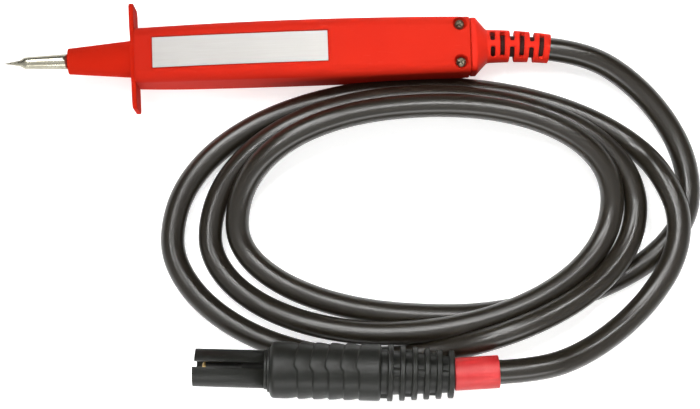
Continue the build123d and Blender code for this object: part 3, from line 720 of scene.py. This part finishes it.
def coilPoints():
    steps = lead["pointsPerQuarter"]
    outward = 1 / math.cos(math.radians(90 / steps / 2))  # a spline cuts inside its points
    spin = Matrix.Rotation(math.radians(lead["turn"]), 3, "Z")
    side, x0, y0, height = lead["coilStart"]
    spots = [(x0, y0, height)]
    for nextSide, x1, y1, squareness, heights in coilQuarters:
        for step in range(1, steps + 1):
            if heights[step - 1] is None:
                break
            angle = math.radians(90 * step / steps)
            rising = math.sin(angle) ** (2 / squareness)
            falling = max(math.cos(angle), 0.0) ** (2 / squareness)
            if side in ("bottom", "top"):
                x, y = x0 + (x1 - x0) * rising, y1 + (y0 - y1) * falling
            else:
                x, y = x1 + (x0 - x1) * falling, y0 + (y1 - y0) * rising
            spots.append((x, y, heights[step - 1] * mm))
        side, x0, y0 = nextSide, x1, y1
    centre = Vector((*lead["centre"], 0))
    return [centre + spin @ Vector((x * outward, y * outward, z)) for x, y, z in spots]


def makeLead():
    points = [Vector(p) for p in bootStretch] + coilPoints() + [Vector(p) for p in plugStretch]
    curve = bpy.data.curves.new("lead", "CURVE")
    curve.dimensions = "3D"
    spline = curve.splines.new("NURBS")
    spline.points.add(len(points) - 1)
    for knot, point in zip(spline.points, points):
        knot.co = (*point, 1.0)
    spline.order_u = 3
    spline.use_endpoint_u = True
    spline.resolution_u = lead["smoothness"]
    curve.bevel_depth = lead["radius"]
    curve.bevel_resolution = lead["roundness"]
    curve.use_fill_caps = True
    return newPiece("lead", curve)


leadPiece = makeLead()
standFor(leadPiece, "blackLead", "black_lead", "probe_and_lead",
         "probe_lead", "coiled_lead", "plug_lead")
print("stage: lead")


# handle

handle = {
    "frontHalfHeight": 9.0, "rearHalfHeight": 8.4,
    "frontHalfWidth": 9.4, "rearHalfWidth": 9.5,
    "cornerRadius": 4.0,
    "bellyStart": 22.0, "bellyLength": 65.0,
    "frontRound": 0.6, "rearRound": 1.2, "roundSteps": 4,
    "slopeStep": 0.05,
    "skinDepth": 0.06,  # what lies this near the skin belongs to it
    "facing": 0.9,  # and faces its way
    "inset": 0.1,  # the ends are measured this far in
}


def archOver(ends, peak):
    # height of the arc through two ends and its middle, as a function of x
    (x0, h0), (x1, h1) = ends
    xm = (x0 + x1) / 2
    d = 2 * (x0 * (peak - h1) + xm * (h1 - h0) + x1 * (h0 - peak))
    s0, sm, s1 = x0 ** 2 + h0 ** 2, xm ** 2 + peak ** 2, x1 ** 2 + h1 ** 2
    cx = (s0 * (peak - h1) + sm * (h1 - h0) + s1 * (h0 - peak)) / d
    cy = (s0 * (x1 - xm) + sm * (x0 - x1) + s1 * (xm - x0)) / d
    radius = math.hypot(x0 - cx, h0 - cy)
    return lambda x: cy + math.sqrt(max(radius ** 2 - (x - cx) ** 2, 0.0))


def handleForm():
    # the handle's outer skin: its half width, top and belly at a distance along X, in mm
    (lowX, _, _), (highX, highY, highZ) = [
        [c / mm for c in corner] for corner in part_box("label_shell")]
    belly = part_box("button_shell")[0][2] / mm
    axis = (highZ + belly) / 2
    width = archOver([(lowX, handle["frontHalfWidth"]), (highX, handle["rearHalfWidth"])], highY)
    top = archOver([(lowX, handle["frontHalfHeight"]), (highX, handle["rearHalfHeight"])],
                   highZ - axis)
    deep, start = axis - belly, lowX + handle["bellyStart"]
    end = start + handle["bellyLength"]
    frontRun, frontRise = handle["bellyStart"], deep - handle["frontHalfHeight"]
    rearRun, rearRise = highX - end, deep - handle["rearHalfHeight"]
    frontRadius = (frontRun ** 2 + frontRise ** 2) / (2 * frontRise)
    rearRadius = (rearRun ** 2 + rearRise ** 2) / (2 * rearRise)

    def bottom(x):
        if x < start:
            return deep - frontRadius + math.sqrt(frontRadius ** 2 - (x - start) ** 2)
        if x > end:
            return deep - rearRadius + math.sqrt(rearRadius ** 2 - (x - end) ** 2)
        return deep

    return axis, width, top, bottom


def skinNormal(form, point):
    # outward direction of the handle's skin near a point, and how far the point is off it
    axis, width, top, bottom = form
    x, y, z = point[0] / mm, point[1] / mm, point[2] / mm - axis
    corner = handle["cornerRadius"]
    sideY, up = math.copysign(1.0, y), z >= 0
    rise, step = top if up else bottom, handle["slopeStep"]
    reach, half = rise(x), width(x)
    slopeZ = (rise(x + step) - rise(x - step)) / (2 * step)
    slopeY = (width(x + step) - width(x - step)) / (2 * step)
    sideZ = 1.0 if up else -1.0
    inY, inZ = abs(y) - (half - corner), abs(z) - (reach - corner)
    if inY > 0 and inZ > 0:
        far = math.hypot(inY, inZ)
        ny, nz = inY / far, inZ / far
        off = far - corner
    elif inZ > inY:
        ny, nz, off = 0.0, 1.0, inZ - corner
    else:
        ny, nz, off = 1.0, 0.0, inY - corner
    normal = Vector((-(slopeZ * nz + slopeY * ny), sideY * ny, sideZ * nz)).normalized()
    return normal, off


def onRim(form, spot, x, inward):
    # whether a point lies at the end face and also in the outer skin
    if abs(spot.x - x) >= near:
        return False
    return abs(skinNormal(form, (x + inward, spot.y, spot.z))[1]) < handle["skinDepth"]


def roundEnds(piece, form):
    # rounds the handle's outer edges at its two ends
    mesh, inset = piece.data, handle["inset"] * mm
    for end, inward, (x, _, _) in zip(("front", "rear"), (inset, -inset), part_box("label_shell")):
        solid = bmesh.new()
        solid.from_mesh(mesh)
        rim = [edge for edge in solid.edges
               if all(onRim(form, v.co, x, inward) for v in edge.verts)]
        bmesh.ops.bevel(solid, geom=rim, offset=handle[end + "Round"] * mm, offset_type="OFFSET",
                        segments=handle["roundSteps"], profile=0.5, affect="EDGES",
                        clamp_overlap=True)
        solid.to_mesh(mesh)
        solid.free()
    smoothUnder(mesh, crease["copied"])


def smoothSkin(piece, form):
    # gives the long outer faces the exact shading of the curved skin
    mesh, inset = piece.data, handle["inset"] * mm
    lowX, highX = [corner[0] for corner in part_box("label_shell")]
    normals = [Vector(n.vector) for n in mesh.corner_normals]
    for face in mesh.polygons:
        for loop in face.loop_indices:
            spot = mesh.vertices[mesh.loops[loop].vertex_index].co
            inside = min(max(spot.x, lowX + inset), highX - inset)
            normal, off = skinNormal(form, (inside, spot.y, spot.z))
            if abs(off) < handle["skinDepth"] and normal.dot(face.normal) > handle["facing"]:
                normals[loop] = normal
    mesh.normals_split_custom_set(normals)


form = handleForm()
for node in ("label_shell", "button_shell"):
    shell = weldedCopy(node.replace("_", "-"), node)
    roundEnds(shell, form)
    smoothSkin(shell, form)
    standFor(shell, "redMoulding", slotOf[node], "probe_and_lead", node)
standFor(weldedCopy("rating-plate", "rating_plate"), "plateFoil", slotOf["rating_plate"],
         "probe_and_lead", "rating_plate")

screws = {
    "radius": 1.6, "edge": 0.45, "wall": 0.85, "recess": 2.4, "slot": 0.64, "depth": 0.95,
    "shank": 1.1, "turn": 25.0, "seat": 1.8, "bevel": 1.3, "around": 48, "shankAround": 32,
}


def makeScrews():
    low, high = [[c / mm for c in corner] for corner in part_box("shell_screws")]
    radius = screws["radius"]
    build = Builder("shell-screws", {
        "Radius": radius, "Edge": screws["edge"], "Wall": screws["wall"],
        "Recess": screws["recess"], "Slot": screws["slot"], "Depth": screws["depth"],
        "Shank": screws["shank"], "Length": high[2] - low[2] - screws["wall"] - screws["edge"],
        "First": Vector((high[0] - screws["seat"], low[1] + screws["seat"], high[2])),
        "Pitch": Vector((0.0, high[1] - low[1] - 2 * screws["seat"], 0.0)),
        "Turn": Vector((0.0, 0.0, math.radians(screws["turn"]))),
    })
    radius, edge, wall = build.given("Radius"), build.given("Edge"), build.given("Wall")
    length, depth = build.given("Length"), build.given("Depth")
    dome = build.node("GeometryNodeMeshCone", {"fill_type": "NGON"}, {
        "Vertices": screws["around"], "Radius Top": radius - edge * screws["bevel"],
        "Radius Bottom": radius, "Depth": edge}, "Mesh")
    dome = build.moved(dome, build.vector(0.0, 0.0, 0.0 - edge))
    drum = build.node("GeometryNodeMeshCylinder", {}, {
        "Vertices": screws["around"], "Radius": radius, "Depth": wall}, "Mesh")
    drum = build.moved(drum, build.vector(0.0, 0.0, 0.0 - edge - wall / 2.0))
    bars = [build.node("GeometryNodeMeshCube", {}, {"Size": build.vector(*size)}, "Mesh")
            for size in ((build.given("Recess"), build.given("Slot"), depth * 2.0),
                         (build.given("Slot"), build.given("Recess"), depth * 2.0))]
    head = build.node("GeometryNodeMeshBoolean", {"operation": "UNION"}, {
        "Mesh 2": [dome, drum]}, "Mesh")
    head = build.node("GeometryNodeMeshBoolean", {"operation": "DIFFERENCE"}, {
        "Mesh 1": head, "Mesh 2": bars}, "Mesh")
    shank = build.node("GeometryNodeMeshCylinder", {}, {
        "Vertices": screws["shankAround"], "Radius": build.given("Shank"), "Depth": length}, "Mesh")
    shank = build.moved(shank, build.vector(0.0, 0.0, 0.0 - edge - wall - length / 2.0))
    spots = build.node("GeometryNodeMeshLine", {"mode": "OFFSET"}, {
        "Count": 2, "Start Location": build.given("First"), "Offset": build.given("Pitch")})
    pair = build.node("GeometryNodeInstanceOnPoints", {}, {
        "Points": spots, "Instance": build.join(head, shank), "Rotation": build.given("Turn")})
    mesh = build.grow(build.moved(pair, scale=(mm, mm, mm)), finish["darkSteel"])
    smoothUnder(mesh, crease["screws"])
    return newPiece("shell-screws", mesh)


standFor(makeScrews(), "darkSteel", slotOf["shell_screws"], "probe_and_lead", "shell_screws")
print("stage: handle")


# nose, tip and boot

boot = {
    "voxel": 0.00024, "rounds": 3, "spigot": 2.0, "collarGap": 0.45, "neckStart": 7.2,
    "neckLength": 21.4, "turn": 8.5, "slots": (5.2, 11.8, 18.4), "slotWidth": 1.5,
    "slotReach": 4.15, "slotFloor": 2.4, "slotTop": 8.0,
}
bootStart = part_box("cable_boot")[0][0]
neckStart = bootStart + boot["neckStart"] * mm
neckArc = boot["neckLength"] * mm / math.radians(boot["turn"])


def neckLine(x):
    # sideways place of the boot's centre line
    past = max(x - neckStart, 0.0)
    return math.sqrt(neckArc ** 2 - past ** 2) - neckArc


def makeBoot():
    piece = weldedCopy("cable-boot", "cable_boot")
    face = bootStart + boot["spigot"] * mm
    for vertex in piece.data.vertices:
        if abs(vertex.co.x - face) < near:
            vertex.co.x -= boot["collarGap"] * mm
    cuts = bmesh.new()
    tall = boot["slotTop"] - boot["slotFloor"]
    for along in boot["slots"]:
        angle = math.radians(boot["turn"] * along / boot["neckLength"])
        x = neckStart + neckArc * math.sin(angle)
        for side in (-1, 1):
            z = form[0] * mm + side * (boot["slotFloor"] + tall / 2) * mm
            place = Matrix.Translation((x, neckLine(x), z)) @ Matrix.Rotation(-angle, 4, "Z")
            size = (boot["slotWidth"] * mm, 2 * boot["slotReach"] * mm, tall * mm, 1)
            bmesh.ops.create_cube(cuts, size=1.0, matrix=place @ Matrix.Diagonal(size))
    mesh = bpy.data.meshes.new("cuts")
    cuts.to_mesh(mesh)
    cuts.free()
    cutter = newPiece("cuts", mesh)
    whole = piece.modifiers.new("whole", "REMESH")
    whole.mode, whole.voxel_size = "VOXEL", boot["voxel"]
    cut = piece.modifiers.new("cut", "BOOLEAN")
    cut.operation, cut.solver, cut.object = "DIFFERENCE", "EXACT", cutter
    softened(piece, boot["voxel"], boot["rounds"])
    bpy.data.objects.remove(cutter)
    return piece


tail = {"shrink": 0.88, "from": 3.0}  # squeezed under the boot, from a little ahead of its neck


def makeTail():
    piece = weldedCopy("lead-tail", "lead_tail")
    for vertex in piece.data.vertices:
        if vertex.co.x > neckStart - tail["from"] * mm:
            middle = Vector((vertex.co.x, neckLine(vertex.co.x), form[0] * mm))
            vertex.co = middle + (vertex.co - middle) * tail["shrink"]
    return piece


nose = {
    "voxel": 0.00020, "rounds": 1,
    "trim": 0.9, "rim": 3.4, "frontRadius": 4.38, "slack": 0.1,
    "guardFrom": 6.0, "guardBlend": 3.5, "guardReach": 12.0, "guardTurn": 1.2,
}


def makeNose():
    piece = weldedCopy("finger-guard-nose", "finger_guard_nose")
    front = min(v.co.x for v in piece.data.vertices) + nose["trim"] * mm
    for vertex in piece.data.vertices:
        if vertex.co.x < front - nose["slack"] * mm:
            # the trimmed front meets the cone in a crisp edge
            spoke = Vector((0, vertex.co.y, vertex.co.z - form[0] * mm))
            if spoke.length > nose["rim"] * mm:
                spoke *= nose["frontRadius"] * mm / spoke.length
            vertex.co = Vector((front, spoke.y, spoke.z + form[0] * mm))
    softened(piece, nose["voxel"], nose["rounds"])
    lean = math.tan(math.radians(nose["guardTurn"]))
    back = max(v.co.x for v in piece.data.vertices)
    for vertex in piece.data.vertices:
        y = vertex.co.y
        past = abs(y) / mm - nose["guardFrom"]
        if past > 0 and vertex.co.x > back - nose["guardReach"] * mm:
            vertex.co.x -= lean * y * min(past / nose["guardBlend"], 1.0)
    return piece


tip = {"shoulderRadius": 1.6, "shoulderReach": 1.2, "sink": 1.3}


def makeTip():
    # the rod's shoulder lies a little deeper, inside the trimmed nose
    piece = weldedCopy("probe-tip", "probe_tip")
    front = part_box("finger_guard_nose")[0][0]
    for vertex in piece.data.vertices:
        away = abs(vertex.co.x - front) / mm
        radius = math.hypot(vertex.co.y, vertex.co.z - form[0] * mm) / mm
        if away < tip["shoulderReach"] and radius > tip["shoulderRadius"]:
            vertex.co.x += nose["trim"] * tip["sink"] * mm
    return piece


def makeSpring():
    # a copy of the spring, with a mesh of its own
    piece = weldedCopy("button-spring", "button_spring")
    standFor(piece, "platedMetal", slotOf["button_spring"], "probe_and_lead", "button_spring")
    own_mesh(piece)


standFor(makeBoot(), "redRubber", slotOf["cable_boot"], "probe_and_lead", "cable_boot")
standFor(makeTail(), "tailJacket", slotOf["lead_tail"], "probe_and_lead", "lead_tail")
standFor(makeNose(), "redGuard", slotOf["finger_guard_nose"], "probe_and_lead", "finger_guard_nose")
standFor(makeTip(), "platedMetal", slotOf["probe_tip"], "probe_and_lead", "probe_tip")
makeSpring()
print("stage: nose, boot and spring")


# plug

plug = {"heading": -3.65, "shroudRadius": 6.2, "roll": 9.0}


def plugFrame():
    low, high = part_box("plug_shroud")
    turn, radius = math.radians(plug["heading"]), plug["shroudRadius"] * mm
    front = (low[0] + radius * abs(math.sin(turn)), high[1] - radius * math.cos(turn),
             (low[2] + high[2]) / 2)
    return Matrix.Translation(front) @ Matrix.Rotation(turn, 4, "Z")


grip = {
    "front": 23.2, "end": 61.2, "radius": 9.3, "bore": 6.3, "mouth": 5.95, "mouthDepth": 4.0,
    # behind the front edge, and out from the axis
    "collar": [(0.0, 6.30), (0.15, 6.48), (0.8, 6.50), (0.95, 6.38), (1.05, 6.95), (1.2, 7.32),
               (1.8, 7.42), (1.95, 7.75), (2.2, 8.45), (2.6, 8.98), (3.2, 9.22)],
    # ahead of the rear edge, and in from the body
    "rearEdge": [(0.45, 0.10), (0.15, 0.35), (0.0, 0.75)],
    "bodyFrom": 3.9, "bodyTo": 0.8,
    "firstGroove": 32.7, "groovePitch": 4.98, "grooves": 5, "grooveDepth": 0.55,
    "grooveRun": 3.6, "grooveCurve": 1.6, "grooveLip": 0.7,
    "leftLean": 1.0, "leftRun": 40.0, "leftMost": 1.7, "rightLean": 1.25, "rightRun": 16.0,
    "around": 120, "steps": 190,
}


def easeIn(share):
    return share * share * (3 - 2 * share)


def grooveShift(angle):
    # how far back a groove lies at an angle from the top: it is kinked at the mould's seam
    off = (math.degrees(angle) + 180) % 360 - 180 - plug["roll"]
    if off > 0:
        return grip["leftLean"] * min(off / grip["leftRun"], grip["leftMost"])
    return grip["rightLean"] * easeIn(min(-off / grip["rightRun"], 1.0))


def gripRadius(along, radius, angle):
    if radius < grip["radius"]:
        return radius
    shift, run, lip = grooveShift(angle), grip["grooveRun"], grip["grooveLip"]
    drop = 0.0
    for number in range(grip["grooves"]):
        past = along - (grip["firstGroove"] + number * grip["groovePitch"] + shift)
        if -run < past <= 0:
            drop = max(drop, (1 + past / run) ** grip["grooveCurve"])
        elif 0 < past < lip:
            drop = max(drop, easeIn(1 - past / lip))
    return radius - grip["grooveDepth"] * drop


def makeGrip():
    front, end, radius = grip["front"], grip["end"], grip["radius"]
    outside = [(front + along, reach) for along, reach in grip["collar"]]
    start, stop, steps = front + grip["bodyFrom"], end - grip["bodyTo"], grip["steps"]
    outside += [(start + (stop - start) * i / steps, radius) for i in range(steps + 1)]
    outside += [(end - ahead, radius - inward) for ahead, inward in grip["rearEdge"]]
    inside = [(end, grip["bore"]), (front + grip["mouthDepth"], grip["bore"]),
              (front + grip["mouthDepth"], grip["mouth"]), (front, grip["mouth"])]
    mesh = lathe(outside + inside, grip["around"], gripRadius)
    return newPiece("plug-grip", finishMesh(mesh, plugFrame(), crease["grip"]))


relief = {
    "fins": 6, "first": 3.1, "pitch": 3.96, "thickness": 1.8, "edge": 0.42, "web": 3.0,
    "frontRadius": 9.3, "rearRadius": 7.8, "frontCore": 7.4, "rearCore": 5.9,
    "ribWidth": 3.0, "ribRise": 1.0,
    "bore": 4.3, "plugDepth": 6.0, "plugRadius": 6.2, "rearRun": 0.3, "rearDrop": 0.4,
    "around": 84, "edgeSteps": 4, "ribAround": 24,
}


def makeRelief():
    place = plugFrame() @ Matrix.Translation((grip["end"] * mm, 0, 0))
    build = Builder("relief-fins", {
        "Fins": relief["fins"], "First": relief["first"], "Pitch": relief["pitch"],
        "Thickness": relief["thickness"], "Edge": relief["edge"], "Web": relief["web"],
        "Front radius": relief["frontRadius"], "Rear radius": relief["rearRadius"],
        "Front core": relief["frontCore"], "Rear core": relief["rearCore"],
        "Rib width": relief["ribWidth"], "Rib rise": relief["ribRise"],
    })
    count, pitch = build.given("Fins"), build.given("Pitch")
    frontRadius, web = build.given("Front radius"), build.given("Web")
    share = build.index() / (count - 1.0)
    circle = build.node("GeometryNodeCurvePrimitiveCircle", {}, {
        "Resolution": relief["around"], "Radius": frontRadius - web / 2.0}, "Curve")
    outline = build.node("GeometryNodeCurvePrimitiveQuadrilateral", {}, {
        "Width": web, "Height": build.given("Thickness")})
    outline = build.node("GeometryNodeFilletCurve", {"mode": "POLY"}, {
        "Curve": outline, "Count": relief["edgeSteps"], "Radius": build.given("Edge")})
    disc = build.node("GeometryNodeCurveToMesh", {}, {"Curve": circle, "Profile Curve": outline})
    spots = build.node("GeometryNodeMeshLine", {"mode": "OFFSET"}, {
        "Count": count, "Start Location": build.vector(0.0, 0.0, build.given("First")),
        "Offset": build.vector(0.0, 0.0, pitch)})
    spread = 1.0 + share * (build.given("Rear radius") / frontRadius - 1.0)
    discs = build.node("GeometryNodeInstanceOnPoints", {}, {
        "Points": spots, "Instance": disc, "Scale": build.vector(spread, spread, 1.0)})
    frontCore, rise = build.given("Front core"), build.given("Rib rise")
    thick = build.given("Rib width") / 2.0
    bar = build.node("GeometryNodeMeshCylinder", {}, {
        "Vertices": relief["ribAround"], "Radius": thick, "Depth": pitch}, "Mesh")
    reach = frontCore + rise - thick
    bars = build.join(build.moved(bar, build.vector(reach, 0.0, 0.0)),
                      build.moved(bar, build.vector(0.0 - reach, 0.0, 0.0)))
    gaps = build.moved(spots, build.vector(0.0, 0.0, pitch * -0.5))
    slim = 1.0 + share * (build.given("Rear core") / frontCore - 1.0)
    quarter = (build.index() % 2.0) * (math.pi / 2)
    ribs = build.node("GeometryNodeInstanceOnPoints", {}, {
        "Points": gaps, "Instance": bars, "Rotation": build.vector(0.0, 0.0, quarter + math.pi / 2),
        "Scale": build.vector(slim, slim, 1.0)})
    whole = build.moved(build.join(discs, ribs), turn=(0, math.pi / 2, 0), scale=(mm, mm, mm))
    fins = build.grow(whole, finish["blackMoulding"])
    fins.transform(place)
    end = relief["first"] + (relief["fins"] - 1) * relief["pitch"] + relief["thickness"] / 2
    bore, rear = relief["bore"], relief["rearCore"]
    ahead, wide = -relief["plugDepth"], relief["plugRadius"]
    core = lathe([(ahead, wide), (0.0, wide), (0.0, relief["frontCore"]),
                  (end - relief["rearRun"], rear), (end, rear - relief["rearDrop"]),
                  (end, bore), (ahead, bore)], relief["around"])
    finishMesh(core, place, crease["turned"])
    mesh = joined(fins, core)
    smoothUnder(mesh, crease["turned"])
    return newPiece("strain-relief", mesh)


sleeve = {"front": -0.55, "rear": -1.2}


def makeSleeve():
    # the heat-shrunk sleeve has drawn back a little and hugs the relief
    piece = weldedCopy("marker-sleeve", "marker_sleeve")
    along = plugFrame().to_3x3() @ Vector((1, 0, 0))
    reach = [along.dot(v.co) for v in piece.data.vertices]
    low, high = min(reach), max(reach)
    for vertex, spot in zip(piece.data.vertices, reach):
        share = (spot - low) / (high - low)
        vertex.co += along * (sleeve["front"] + (sleeve["rear"] - sleeve["front"]) * share) * mm
    return piece


standFor(makeGrip(), "blackMoulding", slotOf["plug_grip"], "probe_and_lead", "plug_grip")
standFor(makeRelief(), "blackMoulding", slotOf["strain_relief"], "probe_and_lead", "strain_relief")
standFor(weldedCopy("plug-shroud", "plug_shroud"), "blackMoulding", slotOf["plug_shroud"],
         "probe_and_lead", "plug_shroud")
standFor(makeSleeve(), "redSleeve", slotOf["marker_sleeve"], "probe_and_lead", "marker_sleeve")
print("stage: plug")


# pieces that keep their shape

carried = {
    "tip_tag": "contactMetal",
    "tip_nut": "platedMetal",
    "push_button": "blackKey",
    "switch_board": "boardGreen",
    "microswitch": "blackKey",
    "switch_plunger": "blackKey",
    "switch_legs": "platedMetal",
    "clamp_bar": "blackMoulding",
    "clamp_screws": "darkSteel",
    "plug_tail": "blackLead",
    "main_core": "redCore",
    "plug_main_core": "redCore",
    "switch_cores": "blackLead",
    "plug_switch_cores": "blackLead",
    # the plug's inside and the contact pin carry painted shade where they show in the shroud's slot
    "plug_insert": "deepBlack",
    "main_contact": "pinSleeve",
    "switch_contacts": "contactMetal",
}
for node, finishName in carried.items():
    wear(nodes[node], finishName)
print("stage: pieces")
